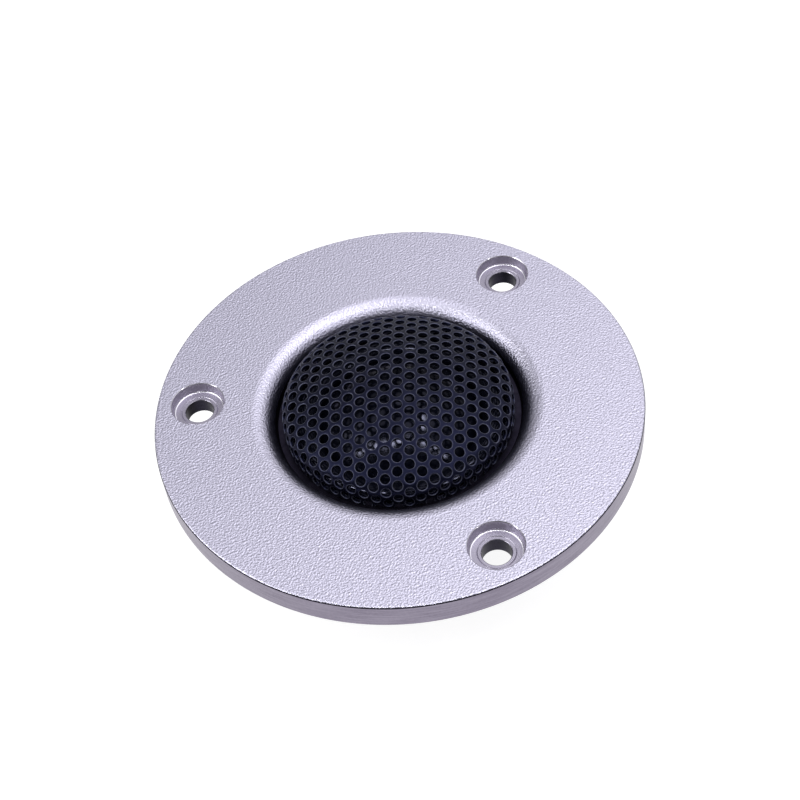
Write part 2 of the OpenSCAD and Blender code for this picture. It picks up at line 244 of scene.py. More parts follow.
def finish_of(name, **values):
    """A new material. The words are the shader's sockets, with _ for a space.

    Returns it, its tree, its shader's sockets, and the place on the piece that patterns read."""
    made = bpy.data.materials.new(name)
    made.use_nodes = True
    sockets = made.node_tree.nodes["Principled BSDF"].inputs
    for socket, value in values.items():
        sockets[socket.replace("_", " ")].default_value = value
    place = add(made.node_tree, "ShaderNodeTexCoord")["Object"]
    return made, made.node_tree, sockets, place


def grained(name, grain, detail=2, relief=None, gloss=None, tones=None, **values):
    """A material with a grain of so many mm, which shows in up to three ways.

    relief is its depth in mm and the strength of that, gloss the roughness of its low and of its high
    spots, and tones the colours of the same two."""
    made, tree, sockets, place = finish_of(name, **values)
    pattern = {"Vector": place, "Scale": 1 / (grain * MM), "Detail": detail}
    noise = add(tree, "ShaderNodeTexNoise", pattern)[0]
    if relief:
        bumps = {"Height": noise, "Distance": relief[0] * MM, "Strength": relief[1]}
        add(tree, "ShaderNodeBump", bumps, to=sockets["Normal"])
    if gloss:
        spread = {0: noise, 1: 0.3, 2: 0.7, 3: gloss[0], 4: gloss[1]}
        add(tree, "ShaderNodeMapRange", spread, to=sockets["Roughness"])
    if tones:
        low, high = map(paint, tones)
        toned = add(tree, "ShaderNodeMix", {0: noise, 6: low, 7: high}, data_type="RGBA")
        tree.links.new(toned[2], sockets["Base Color"])
    return made


def new_tree(name, **inputs):
    """A geometry tree with named inputs, each given as its socket type. Returns it and its inputs."""
    tree = bpy.data.node_groups.new(name, "GeometryNodeTree")
    tree.interface.new_socket("Geometry", in_out="OUTPUT", socket_type="NodeSocketGeometry")
    for word, kind in inputs.items():
        tree.interface.new_socket(word, in_out="INPUT", socket_type="NodeSocket" + kind)
    return tree, add(tree, "NodeGroupInput")


def grow(name, tree, **values):
    """Runs a geometry tree with these inputs and returns what it makes as a plain piece."""
    piece = put(name, bpy.data.meshes.new(name))
    run = piece.modifiers.new("grow", "NODES")
    run.node_group = tree
    for socket in tree.interface.items_tree:
        if socket.in_out == "INPUT" and socket.name in values:
            run[socket.identifier] = values[socket.name]
    return settle(piece)


# %% [markdown]
# The camera comes before the pieces, so that each can be judged as it is made. It stands where a
# person's eye is when the tweeter lies on a table: about 25 cm away and half above it, with the head
# tilted a little.

# %% Camera
azimuth, elevation, tilt = math.radians(-21.14), math.radians(49.14), math.radians(-7.459)
distance = 247.97
flange_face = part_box("face_plate")[1].z
aim = Vector((0.41, 0.08, 0.08)) * MM
aim.rotate(Matrix.Rotation(azimuth, 3, "Z"))
aim.z += flange_face
camera = bpy.data.objects.new("camera", bpy.data.cameras.new("camera"))
camera.data.lens = 72.07
camera.data.sensor_width = 36
camera.data.clip_start = 0.01
stand = Matrix.Rotation(azimuth, 4, "Z") @ Matrix.Rotation(math.pi / 2 - elevation, 4, "X")
look = stand @ Matrix.Rotation(tilt, 4, "Z")
camera.matrix_world = Matrix.Translation(aim + look.to_3x3() @ Vector((0, 0, distance * MM))) @ look
scene.collection.objects.link(camera)
scene.camera = camera
print("camera, mm:", [round(x / MM, 1) for x in camera.matrix_world.translation])

# %% [markdown]
# The flange is one die casting. Its front is blasted and sprayed with a thin silver lacquer. Blasting
# leaves dents of a few tenths of a millimetre, and each dent mirrors another bit of the room, so the
# metal looks bright, grainy and nearly matt. The grain could be painted on, but then it would show as
# strongly towards the evenly lit far side as towards the near side. As relief it comes out by itself
# where the room's brightness changes.

# %% Silver lacquer on the blasted casting
silver_lacquer, tree, sockets, place = finish_of(
    "silver lacquer on blasted aluminium", Metallic=1.0, Roughness=0.3
)
dent = 0.32
# Radii in mm where the throat's painted shade is full and where it ends
painted_shade_full_r, painted_shade_end_r = 19.2, 21.3
grit = add(tree, "ShaderNodeTexNoise", {"Vector": place, "Scale": 1 / (dent * MM), "Detail": 1})[0]
flakes = add(
    tree, "ShaderNodeMix", {0: grit, 6: paint("#adabbc"), 7: paint("#ebe9fa")}, data_type="RGBA"
)[2]
# Painted shade: the colour darkens down the throat, towards the axis, from the lacquer's grain to a dark
# grey
flat = add(tree, "ShaderNodeVectorMath", {0: place, 1: (1, 1, 0)}, operation="MULTIPLY")[0]
from_axis = add(tree, "ShaderNodeVectorMath", {0: flat}, operation="LENGTH")["Value"]
painted_shade_mask = add(tree, "ShaderNodeMapRange", {0: from_axis, 1: painted_shade_full_r * MM, 2: painted_shade_end_r * MM})[0]
lacquer_and_painted_shade = add(
    tree, "ShaderNodeMix", {0: painted_shade_mask, 6: paint("#56556c"), 7: flakes}, data_type="RGBA"
)[2]
tree.links.new(lacquer_and_painted_shade, sockets["Base Color"])
add(tree, "ShaderNodeBump", {"Height": grit, "Distance": 0.1 * MM}, to=sockets["Normal"])

# %% [markdown]
# The screw holes are machined after spraying, so they are bare metal. An end mill leaves fine rings on
# the seat that the screw's head lies on, and a smooth wall. The drill leaves a scored bore, which is
# painted near black as shade. The rings have to follow the hole, not the flange, so each point of the
# mesh carries its distance to its hole in an attribute, which the material reads.

# %% Milled seat
milled, tree, sockets, place = finish_of("milled aluminium", Base_Color=paint("#a8a4b2"), Metallic=1.0)
cutter_step = 0.2
mill_r = add(tree, "ShaderNodeAttribute", attribute_name="tool_r")["Fac"]
wave = add(tree, "ShaderNodeMath", {0: mill_r, 1: 2 * math.pi / cutter_step}, operation="MULTIPLY")[0]
rings = add(tree, "ShaderNodeMath", {0: wave}, operation="SINE")[0]
stain = add(tree, "ShaderNodeTexNoise", {"Vector": place, "Scale": 1 / (0.8 * MM), "Detail": 2})[0]
add(
    tree, "ShaderNodeMapRange", {0: stain, 1: 0.3, 2: 0.7, 3: 0.24, 4: 0.34}, to=sockets["Roughness"]
)
add(tree, "ShaderNodeBump", {"Height": rings, "Distance": 0.004 * MM}, to=sockets["Normal"])

# %% Corners burnished by the cutter: smoother, and painted near white as a highlight
burnished_painted_highlight = grained(
    "burnished aluminium", 0.5, gloss=(0.14, 0.26), Base_Color=paint("#f0eef6"), Metallic=1.0
)

# %% Milled wall of the counterbore
milled_wall = grained(
    "milled aluminium wall", 0.5, tones=("#c3bdcd", "#dcd7e4"), Metallic=1.0, Roughness=0.5
)

# %% Painted shade: a near-black finish for the drilled bore, the throat and a line under the front edge
painted_shade_finish, tree, sockets, place = finish_of("drilled aluminium", Metallic=1.0, Roughness=0.4)
scored = add(tree, "ShaderNodeMapping", {"Vector": place, "Scale": (0.3, 0.3, 2)})[0]
scores = add(tree, "ShaderNodeTexNoise", {"Vector": scored, "Scale": 1 / (0.4 * MM), "Detail": 2})[0]
painted_shade_tone = add(
    tree, "ShaderNodeMix", {0: scores, 6: paint("#0e0d16"), 7: paint("#34313f")}, data_type="RGBA"
)[2]
tree.links.new(painted_shade_tone, sockets["Base Color"])
add(
    tree, "ShaderNodeBump", {"Height": scores, "Distance": 0.01 * MM, "Strength": 0.6}, to=sockets["Normal"]
)

# %% [markdown]
# The flange's edge is turned in a lathe before spraying and the mist hardly reaches it. So it keeps the
# fine lines of the cutting tool, which run right round it. Its greys are painted darker than the front, as
# shade.

# %% Turned edge, in painted shade
turned_edge_painted_shade, tree, sockets, place = finish_of(
    "turned aluminium, thin lacquer", Metallic=1.0, Roughness=0.36
)
drawn_out = add(tree, "ShaderNodeMapping", {"Vector": place, "Scale": (0.06, 0.06, 1)})[0]
lines = add(tree, "ShaderNodeTexNoise", {"Vector": drawn_out, "Scale": 1 / (0.3 * MM), "Detail": 3})[0]
specks = add(tree, "ShaderNodeTexNoise", {"Vector": place, "Scale": 1 / (0.35 * MM), "Detail": 2})[0]
# Painted shade: dark greys, far below bare aluminium, mixed by specks and by the tool lines
painted_shade_specks = add(
    tree, "ShaderNodeMix", {0: specks, 6: paint("#857e8e"), 7: paint("#6b6474")}, data_type="RGBA"
)[2]
line_share = add(tree, "ShaderNodeMapRange", {0: lines, 1: 0.3, 2: 0.7, 3: 0.0, 4: 0.45})[0]
painted_light_edge_tone = add(
    tree, "ShaderNodeMix", {0: line_share, 6: painted_shade_specks, 7: paint("#a29cab")}, data_type="RGBA"
)[2]
tree.links.new(painted_light_edge_tone, sockets["Base Color"])
add(
    tree, "ShaderNodeBump", {"Height": lines, "Distance": 0.015 * MM, "Strength": 0.6}, to=sockets["Normal"]
)

# %% [markdown]
# The casting itself. Its outline is spun: a flat front, a wide rounded mouth that leads the sound out,
# a throat with a ledge that the grille stands on, and a groove for the gasket at the back. The holes are
# cut with spun cutters, as drills would. Each cutter carries the hole's edge breaks, so the rings at the
# hole's corners are real chamfers and fillets, and their near-white colour is a painted highlight.

# %% Flange blank
flange_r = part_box("face_plate")[1].x / MM
flange_t = flange_face / MM
edge = 0.35
mouth_round = 3.9
throat_r = 19
ledge_bore_r, ledge_t = 17.2, 1.2
groove_in_r, groove_out_r = 25.2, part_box("gasket")[1].x / MM
groove_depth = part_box("gasket")[1].z / MM
mouth_start = math.degrees(math.asin((ledge_t - flange_t + mouth_round) / mouth_round))
flange_outline = [
    (ledge_bore_r, 0),
    (groove_in_r, 0),
    (groove_in_r, groove_depth),
    (groove_out_r, groove_depth),
    (groove_out_r, 0),
    *arc(flange_r - edge, edge, edge, -90, 0),
    *arc(flange_r - edge, flange_t - edge, edge, 0, 90, 8),
    *arc(throat_r + mouth_round, flange_t - mouth_round, mouth_round, 90, 180 - mouth_start, 32),
    (ledge_bore_r + 0.1, ledge_t),
    (ledge_bore_r, ledge_t - 0.1),
]
flange = lathe("cast_flange", flange_outline, 360)
print("flange: radius", round(flange_r, 2), "mm, thickness", round(flange_t, 2), "mm")

# %% Holes of the flange
pattern = next(m for m in frame["record"]["mounts"] if m["name"] == "screw_holes")["dims"]
hole_circle_r, hole_r, hole_count = pattern["pcd_mm"] / 2, pattern["hole_r_mm"], pattern["count"]
first_hole, between_holes = 30, 360 / hole_count
counterbore_r, counterbore_depth = 4.2, 1.75
seat_r, seat_round, seat_z = 4.0, 0.25, flange_t - counterbore_depth
entry_break, seat_break, mouth_break = 0.15, 0.1, 0.1
ridge_r, ridge_half_w, ridge_h = hole_r + 0.6, 0.1, 0.06
through = 1
mount_hole = [
    (0, -through),
    (hole_r + entry_break, -through),
    (hole_r + entry_break, 0),
    (hole_r, entry_break),
    (hole_r, seat_z - seat_break),
    (hole_r + seat_break, seat_z),
    (ridge_r - ridge_half_w, seat_z),
    (ridge_r, seat_z + ridge_h),
    (ridge_r + ridge_half_w, seat_z),
    *arc(seat_r - seat_round, seat_z + seat_round, seat_round, -90, 0, 5),
    (counterbore_r, flange_t - mouth_break),
    (counterbore_r + 2 * mouth_break, flange_t + mouth_break),
    (counterbore_r + 2 * mouth_break, flange_t + through),
    (0, flange_t + through),
]
# Between the mounting holes, blind holes take the assembly screws from the rear
screw_circle_r, screw_r, screw_depth, drill_point = 21.5, 1.25, 2.3, 0.3
blind_hole = [(0, -through), (screw_r, -through), (screw_r, screw_depth), (0, screw_depth + drill_point)]
hole_spots = []
for count in range(hole_count):
    angle = first_hole + between_holes * count
    drill(flange, mount_hole, 96, angle, hole_circle_r)
    drill(flange, blind_hole, 48, angle + between_holes / 2, screw_circle_r)
    hole_spots.append(Matrix.Rotation(math.radians(angle), 2) @ Vector((hole_circle_r, 0)))
mend(flange, 0.0005)


# %% Finishes of the flange
def from_hole(place):
    """The distance in mm from the nearest mounting hole's axis."""
    return min((place.xy / MM - spot).length for spot in hole_spots)


def finish_at(off_hole, off_axis, z):
    """The finish at so many mm from a hole's axis, from the flange's axis, and above its rear face."""
    slack, front = 0.02, flange_t - 0.01
    in_counterbore = off_hole < counterbore_r + 1.5 * mouth_break and through < z < front
    # Painted shade: the drilled bore is near black
    if off_hole < hole_r + slack:
        return painted_shade_finish
    if in_counterbore and off_hole < seat_r - seat_round + slack and z < seat_z + seat_break:
        return milled
    # Painted highlight: the corners at the seat and at the counterbore's mouth are near white
    if in_counterbore and (z > flange_t - mouth_break or off_hole < seat_r and z < seat_z + seat_round):
        return burnished_painted_highlight
    if in_counterbore:
        return milled_wall
    # Painted shade: the throat below the mouth gets the dark finish of the bore
    if off_axis < throat_r + edge and z < flange_t - 1.5:
        return painted_shade_finish
    # Painted shadow: a thin dark line just under the front's rounded edge
    if off_axis > flange_r - edge and flange_t - 0.3 < z < flange_t - 0.1:
        return painted_shade_finish
    if off_axis > throat_r + mouth_round and z < flange_t - 0.3:
        return turned_edge_painted_shade
    return silver_lacquer


finishes = [silver_lacquer, milled, milled_wall, painted_shade_finish, turned_edge_painted_shade, burnished_painted_highlight]
for finish in finishes:
    flange.data.materials.append(finish)
for face in flange.data.polygons:
    middle = face.center / MM
    finish = finish_at(from_hole(face.center), middle.xy.length, middle.z)
    face.material_index = finishes.index(finish)
tool_r = flange.data.attributes.new("tool_r", "FLOAT", "POINT")
for vert, item in zip(flange.data.vertices, tool_r.data):
    item.value = from_hole(vert.co)
shade(flange, 30)
fit(flange, "face_plate")
print("flange:", len(flange.data.polygons), "faces,", hole_count, "holes on radius", hole_circle_r, "mm")

# %% [markdown]
# The grille is a disc of perforated steel, drawn into a dome with a rounded shoulder and a short skirt.
# Cutting hundreds of holes with booleans is slow and leaves ragged meshes. Here a single cell is made
# instead, a hexagon with a round hole, and laid out as a honeycomb. Trimmed to a disc, the flat sheet
# is then bent over the dome by the rule that a press follows: distances from the centre are kept along
# the metal, and round the skirt the cells are squeezed together.

# %% The tree of the punched and drawn sheet: one cell
tree, get = new_tree(
    "punched and drawn sheet",
    Pitch="Float", Hole="Float", Turn="Float", Shift="Vector", Reach="Float",
    Dome="Float", Shoulder="Float", Bend="Float", Top="Float", Finish="Material",
)
known = {name: get[name] for name in ("Pitch", "Turn", "Reach", "Dome", "Shoulder", "Bend", "Top")}


def reckon(steps):
    """Adds arithmetic from a table: each row is a result's name, its node's settings and its inputs."""
    for result, setting, *inputs in steps:
        terms = {i: known.get(term, term) for i, term in enumerate(inputs)}
        kind = "ShaderNodeMath" if setting else "ShaderNodeCombineXYZ"
        known[result] = add(tree, kind, terms, **({"operation": setting} if setting else {}))[0]


corners = 24
sixth = math.pi / 3
rim = add(tree, "GeometryNodeMeshCircle", {"Vertices": corners, "Radius": get["Hole"]})[0]
cell_edge = add(tree, "GeometryNodeExtrudeMesh", {"Mesh": rim, "Offset Scale": 0.0}, mode="EDGES")
here = add(tree, "GeometryNodeInputPosition")[0]
known["x"], known["y"], _ = add(tree, "ShaderNodeSeparateXYZ", {0: here})
reckon([
    ("heading", "ARCTAN2", "y", "x"),
    ("turned back", "ADD", "heading", sixth / 2),
    ("in its sixth", "FLOORED_MODULO", "turned back", sixth),
    ("off middle", "SUBTRACT", "in its sixth", sixth / 2),
    ("leaning", "COSINE", "off middle"),
    ("half pitch", "MULTIPLY", "Pitch", 0.5),
    ("hexagon r", "DIVIDE", "half pitch", "leaning"),
    ("cosine", "COSINE", "heading"),
    ("sine", "SINE", "heading"),
    ("hexagon x", "MULTIPLY", "hexagon r", "cosine"),
    ("hexagon y", "MULTIPLY", "hexagon r", "sine"),
    ("hexagon", None, "hexagon x", "hexagon y", 0.0),
])
cell = add(
    tree, "GeometryNodeSetPosition",
    {"Geometry": cell_edge[0], "Selection": cell_edge[1], "Position": known["hexagon"]},
)[0]

# %% The honeycomb: a square grid, sheared so that every point has six equal neighbours
rows = 29
reckon([
    ("side", "MULTIPLY", "Pitch", rows - 1),
])
weld = 0.01
grid = add(tree, "GeometryNodeMeshGrid", {0: known["side"], 1: known["side"], 2: rows, 3: rows})[0]
reckon([
    ("sheared x", "MULTIPLY_ADD", "y", 0.5, "x"),
    ("sheared y", "MULTIPLY", "y", math.sqrt(3) / 2),
    ("sheared", None, "sheared x", "sheared y", 0.0),
    ("cell turn", None, 0.0, 0.0, "Turn"),
    ("edge cells", "ADD", "Reach", "Pitch"),
])
turned = add(
    tree, "ShaderNodeVectorRotate", {"Vector": known["sheared"], "Angle": get["Turn"]},
    rotation_type="Z_AXIS",
)[0]
laid = add(tree, "ShaderNodeVectorMath", {0: turned, 1: get["Shift"]}, operation="ADD")[0]
sites = add(tree, "GeometryNodeSetPosition", {"Geometry": grid, "Position": laid})[0]
known["far"] = add(tree, "ShaderNodeVectorMath", {0: here}, operation="LENGTH")["Value"]
reckon([
    ("too far", "GREATER_THAN", "far", "edge cells"),
    ("beyond edge", "GREATER_THAN", "far", "Reach"),
])
near_sites = add(
    tree, "GeometryNodeDeleteGeometry", {"Geometry": sites, "Selection": known["too far"]}, domain="POINT"
)[0]
placed = add(
    tree, "GeometryNodeInstanceOnPoints",
    {"Points": near_sites, "Instance": cell, "Rotation": known["cell turn"]},
)[0]
real = add(tree, "GeometryNodeRealizeInstances", {0: placed})[0]
sheet = add(tree, "GeometryNodeMergeByDistance", {"Geometry": real, "Distance": weld * MM})[0]

# %% The trim: faces wholly outside the disc go, and corners outside it are pulled back to its edge
marked = add(tree, "GeometryNodeCaptureAttribute", {"Geometry": sheet}, domain="POINT")
marked[0].node.capture_items.new("FLOAT", "beyond")
tree.links.new(known["beyond edge"], marked[0].node.inputs[1])
known["beyond"] = marked[0].node.outputs[1]
reckon([
    ("wholly beyond", "GREATER_THAN", "beyond", 0.99),
])
trimmed = add(
    tree, "GeometryNodeDeleteGeometry",
    {"Geometry": marked[0].node.outputs[0], "Selection": known["wholly beyond"]},
    domain="FACE",
)[0]

# %% The draw: a big ball for the dome, a small one for the bend at its shoulder, then straight down
reckon([
    ("along", "MINIMUM", "far", "Reach"),
    ("ball", "SUBTRACT", "Dome", "Bend"),
    ("shoulder sine", "DIVIDE", "Shoulder", "ball"),
    ("shoulder turn", "ARCSINE", "shoulder sine"),
    ("dome reach", "MULTIPLY", "shoulder turn", "Dome"),
    ("on dome", "MINIMUM", "along", "dome reach"),
    ("dome turn", "DIVIDE", "on dome", "Dome"),
    ("past dome", "SUBTRACT", "along", "dome reach"),
    ("on bend", "MAXIMUM", "past dome", 0.0),
    ("bend left", "SUBTRACT", math.pi / 2, "shoulder turn"),
    ("free turn", "DIVIDE", "on bend", "Bend"),
    ("bend turn", "MINIMUM", "free turn", "bend left"),
    ("full turn", "ADD", "dome turn", "bend turn"),
    ("bend reach", "MULTIPLY", "bend left", "Bend"),
    ("past bend", "SUBTRACT", "on bend", "bend reach"),
    ("drop", "MAXIMUM", "past bend", 0.0),
    ("dome sine", "SINE", "dome turn"),
    ("dome cosine", "COSINE", "dome turn"),
    ("full sine", "SINE", "full turn"),
    ("full cosine", "COSINE", "full turn"),
    ("ball out", "MULTIPLY", "ball", "dome sine"),
    ("ball up", "MULTIPLY", "ball", "dome cosine"),
    ("out", "MULTIPLY_ADD", "Bend", "full sine", "ball out"),
    ("up", "MULTIPLY_ADD", "Bend", "full cosine", "ball up"),
    ("centre", "SUBTRACT", "Top", "Dome"),
    ("undropped", "ADD", "centre", "up"),
    ("drawn z", "SUBTRACT", "undropped", "drop"),
    ("drawn x", "MULTIPLY", "out", "cosine"),
    ("drawn y", "MULTIPLY", "out", "sine"),
    ("drawn", None, "drawn x", "drawn y", "drawn z"),
])
drawn = add(tree, "GeometryNodeSetPosition", {"Geometry": trimmed, "Position": known["drawn"]})[0]
welded = add(tree, "GeometryNodeMergeByDistance", {"Geometry": drawn, "Distance": weld * MM})[0]
all_real = add(tree, "GeometryNodeRealizeInstances", {0: welded})[0]
done = add(tree, "GeometryNodeSetMaterial", {"Geometry": all_real, "Material": get["Finish"]})[0]
add(tree, "NodeGroupOutput", {0: done})
print("sheet tree:", len(tree.nodes), "nodes")

# %% [markdown]
# Powder coat is baked plastic powder. It is nearly black with a cold cast, semi-gloss, and it keeps a
# fine orange peel, so its glints are broken up. It flows back a little from a punched edge, so each
# hole has a thin rim, painted a lighter grey as a highlight where the light catches.

# %% Powder coat on the grille
powder_coat = grained(
    "black powder coat", 0.25, relief=(0.012, 0.5), gloss=(0.3, 0.46),
    Base_Color=paint("#060712"), Specular_Tint=paint("#7f86c4"),
)

# %% Powder coat, thin on the punched edges, painted lighter as a highlight
thin_coat_painted_highlight, tree, sockets, place = finish_of(
    "black powder coat, thin on edges", Roughness=0.34, Specular_Tint=paint("#b4bbff")
)
rim_highlight_patches = add(tree, "ShaderNodeTexNoise", {"Vector": place, "Scale": 1 / (1.2 * MM), "Detail": 2})[0]
edge_share = add(tree, "ShaderNodeMapRange", {0: rim_highlight_patches, 1: 0.35, 2: 0.65})[0]
painted_light_edge_tone = add(
    tree, "ShaderNodeMix", {0: edge_share, 6: paint("#30323f"), 7: paint("#5a5c69")}, data_type="RGBA"
)[2]
tree.links.new(painted_light_edge_tone, sockets["Base Color"])

# %% Grille
grille_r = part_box("grille")[1].x / MM
grille_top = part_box("grille")[1].z / MM
dome_face_r, bend, sheet_t = 39.1, 2.5, 0.6
shoulder_r = grille_r - bend
shoulder_angle = math.asin(shoulder_r / (dome_face_r - bend))
shoulder_z = grille_top - dome_face_r + (dome_face_r - bend) * math.cos(shoulder_angle)
skirt_h = shoulder_z - ledge_t
reach = dome_face_r * shoulder_angle + bend * (math.pi / 2 - shoulder_angle) + skirt_h
pitch, hole_d = 2.2, 1.6
grille = grow(
    "perforated_grille",
    bpy.data.node_groups["punched and drawn sheet"],
    Pitch=pitch * MM,
    Hole=hole_d / 2 * MM,
    Turn=math.radians(2.4),
    Shift=Vector((0.15, -0.53, 0)) * MM,
    Reach=reach * MM,
    Dome=dome_face_r * MM,
    Shoulder=shoulder_r * MM,
    Bend=bend * MM,
    Top=grille_top * MM,
    Finish=powder_coat,
)
print("grille skin:", len(grille.data.polygons), "faces, reach", round(reach, 2), "mm")

# %% [markdown]
# So far the sheet is a skin. Solidify gives it the thickness of the metal, inwards, and Bevel rounds the
# punched edges as the coating does. Both would work inside the tree too, but as modifiers they are the
# same two steps that one would take by hand.

# %% Thickness and punched edges
form = bmesh.new()
form.from_mesh(grille.data)
bmesh.ops.dissolve_degenerate(form, edges=form.edges, dist=0.005 * MM)
bmesh.ops.recalc_face_normals(form, faces=form.faces)
if sum(f.normal.z for f in form.faces) < 0:
    bmesh.ops.reverse_faces(form, faces=form.faces)
form.to_mesh(grille.data)
form.free()
thick = grille.modifiers.new("thickness", "SOLIDIFY")
thick.thickness = sheet_t * MM
thick.offset = -1
thick.use_even_offset = True
punched = grille.modifiers.new("punched edges", "BEVEL")
punched.width = 0.1 * MM
punched.segments = 2
punched.limit_method = "ANGLE"
punched.angle_limit = math.radians(50)
# The clamp would shrink every bevel to what the smallest sliver at the trim can take
punched.use_clamp_overlap = False
grille.data.materials.clear()
for coat in (powder_coat, thin_coat_painted_highlight):
    grille.data.materials.append(coat)
# The punched edges take the coat with the painted highlight
punched.material = 1
settle(grille)
shade(grille, 60)
fit(grille, "grille")
grille.data.calc_loop_triangles()
edge_faces = sum(face.material_index for face in grille.data.polygons)
print("grille:", len(grille.data.loop_triangles), "triangles,", edge_faces, "faces on punched edges")

# %% [markdown]
# The dome and its surround are one cap of silk, pressed hot and brushed with a black, glossy coating.
# They are made as two pieces here because the dome rides on the voice coil and the surround stays
# clamped at its outer edge. The threads are too fine to see, but they keep the gloss from being
# perfect, so the coating has faint ripples. It mirrors little except lamps, which show as glints.

# %% Coated silk
coated_silk = grained(
    "coated silk", 2.2, detail=1, relief=(0.008, 0.3), gloss=(0.12, 0.17),
    Base_Color=paint("#020309"), Specular_IOR_Level=0.22, Specular_Tint=paint("#d8dbff"),
)

# %% Dome
dome_r, dome_rise, silk_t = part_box("dome")[1].x / MM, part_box("dome")[1].z / MM, 0.25
ball_r = (dome_r**2 + dome_rise**2) / (2 * dome_rise)
rim_angle = math.degrees(math.acos(dome_r / ball_r))
inner_ball_r = ball_r - silk_t
inner_rim = math.degrees(math.asin((ball_r - dome_rise) / inner_ball_r))
outer_skin = arc(0, dome_rise - ball_r, ball_r, rim_angle, 90, 40)
inner_skin = arc(0, dome_rise - ball_r, inner_ball_r, 90, inner_rim, 40)
outer_skin[-1] = (0, dome_rise)
inner_skin[0] = (0, dome_rise - silk_t)
dome = lathe("silk_dome", outer_skin + inner_skin)
shade(dome)
fit(dome, "dome", coated_silk, "diaphragm")
print("dome: radius", round(dome_r, 2), "mm, rise", round(dome_rise, 2), "mm")

# %% [markdown]
# The surround is the half roll that lets the dome move. Its inner edge goes with the voice coil and its
# outer edge stays, so its points have to share the motion by their distance from the axis. The frame's
# own blend counts along a straight line. It is used first, because it sets everything up, and then each
# point's share is worked out again. The lead wires cross the same gap and share in the same way.


# %% Share of the dome's motion
def share_motion(piece, inner, outer):
    """Points move with the dome at the inner radius, not at all at the outer one, smoothly between."""
    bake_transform(piece, "root", "diaphragm", start=(0, 0, 0), end=(0, 0, MM))
    for vert, item in zip(piece.data.vertices, piece.data.attributes["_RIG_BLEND"].data):
        t = (outer - vert.co.xy.length / MM) / (outer - inner)
        t = min(max(t, 0), 1)
        item.value = t * t * (3 - 2 * t)


# %% Surround
roll_w, cuff_in_r, cuff_h, clamp_r = 4, 12.7, 0.7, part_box("surround")[1].x / MM
roll_r = dome_r + roll_w / 2
roll_end = dome_r + roll_w
surround_outline = [
    (cuff_in_r, -cuff_h),
    (dome_r + silk_t, -cuff_h),
    *arc(roll_r, 0, roll_w / 2 - silk_t, 180, 0, 24),
    (roll_end - silk_t, -silk_t),
    (clamp_r, -silk_t),
    (clamp_r, 0),
    *arc(roll_r, 0, roll_w / 2, 0, 180, 24),
    (cuff_in_r, 0),
]
surround = shade(lathe("silk_surround", surround_outline))
share_motion(surround, dome_r, roll_end)
fit(surround, "surround", coated_silk, None)
print("surround: roll", roll_w, "mm wide, from radius", dome_r, "to", roll_end, "mm")

# %% [markdown]
# Behind the flange are the plastics. Glass-filled nylon is tough and dull, and the glass shows as a
# faint spark in its skin. ABS is smoother. Foam and rubber are soft and have no gloss at all.

# %% Plastics, foam and rubber
nylon = grained(
    "glass-filled nylon, moulded", 0.35, detail=3, relief=(0.03, 0.5), gloss=(0.44, 0.62),
    Base_Color=paint("#222327"),
)
abs_plastic = grained(
    "ABS, moulded", 0.5, relief=(0.015, 0.4), Base_Color=paint("#1c1d20"), Roughness=0.4
)
rubber = grained("rubber", 0.6, relief=(0.02, 0.5), Base_Color=paint("#1b1b1d"), Roughness=0.7)
# Foam is cells, not grain
foam, tree, sockets, place = finish_of("closed-cell foam", Base_Color=paint("#26262a"), Roughness=0.9)
cells = add(tree, "ShaderNodeTexVoronoi", {"Vector": place, "Scale": 1 / (0.45 * MM)})[0]
add(
    tree, "ShaderNodeBump", {"Height": cells, "Distance": 0.1 * MM, "Strength": 0.7}, to=sockets["Normal"]
)

# %% [markdown]
# Metals of the rear. Zinc plating is bright with a cloudy bloom, black zinc is its dark brother. The can
# is turned, so fine lines run round it, and anodising turns it satin grey. Brass tabs get a flash of
# tin, rolled along their length. Copper stays bare, and solder is bright and uneven where it set.

# %% Plated steel
zinc_plate = grained(
    "zinc-plated steel", 1.6, detail=3, gloss=(0.26, 0.42), tones=("#b4b7bf", "#cfd0d2"), Metallic=1.0
)
black_zinc = grained(
    "black zinc-plated steel", 0.4, relief=(0.008, 0.4),
    Base_Color=paint("#3a3b40"), Metallic=1.0, Roughness=0.35,
)

# %% Anodised aluminium, turned
anodised, tree, sockets, place = finish_of(
    "anodised aluminium, turned", Base_Color=paint("#7d7f86"), Metallic=1.0
)
# Lines that run round a turned piece depend only on the distance from its axis and on the height
flat = add(tree, "ShaderNodeVectorMath", {0: place, 1: (1, 1, 0)}, operation="MULTIPLY")[0]
out = add(tree, "ShaderNodeVectorMath", {0: flat}, operation="LENGTH")["Value"]
height = add(tree, "ShaderNodeSeparateXYZ", {0: place})[2]
half_section = add(tree, "ShaderNodeCombineXYZ", {0: out, 1: height, 2: 0.0})[0]
turning = add(
    tree, "ShaderNodeTexNoise", {"Vector": half_section, "Scale": 1 / (0.22 * MM), "Detail": 2}
)[0]
add(
    tree, "ShaderNodeBump", {"Height": turning, "Distance": 0.02 * MM, "Strength": 0.5}, to=sockets["Normal"]
)
add(tree, "ShaderNodeMapRange", {0: turning, 1: 0.3, 2: 0.7, 3: 0.28, 4: 0.42}, to=sockets["Roughness"])

# %% Brass, copper and solder
tinned_brass, tree, sockets, place = finish_of(
    "tin-flashed brass", Base_Color=paint("#cfc19a"), Metallic=1.0, Roughness=0.28
)
rolled = add(tree, "ShaderNodeMapping", {"Vector": place, "Scale": (1, 1, 0.12)})[0]
grain = add(tree, "ShaderNodeTexNoise", {"Vector": rolled, "Scale": 1 / (0.5 * MM)})[0]
add(
    tree, "ShaderNodeBump", {"Height": grain, "Distance": 0.015 * MM, "Strength": 0.4}, to=sockets["Normal"]
)

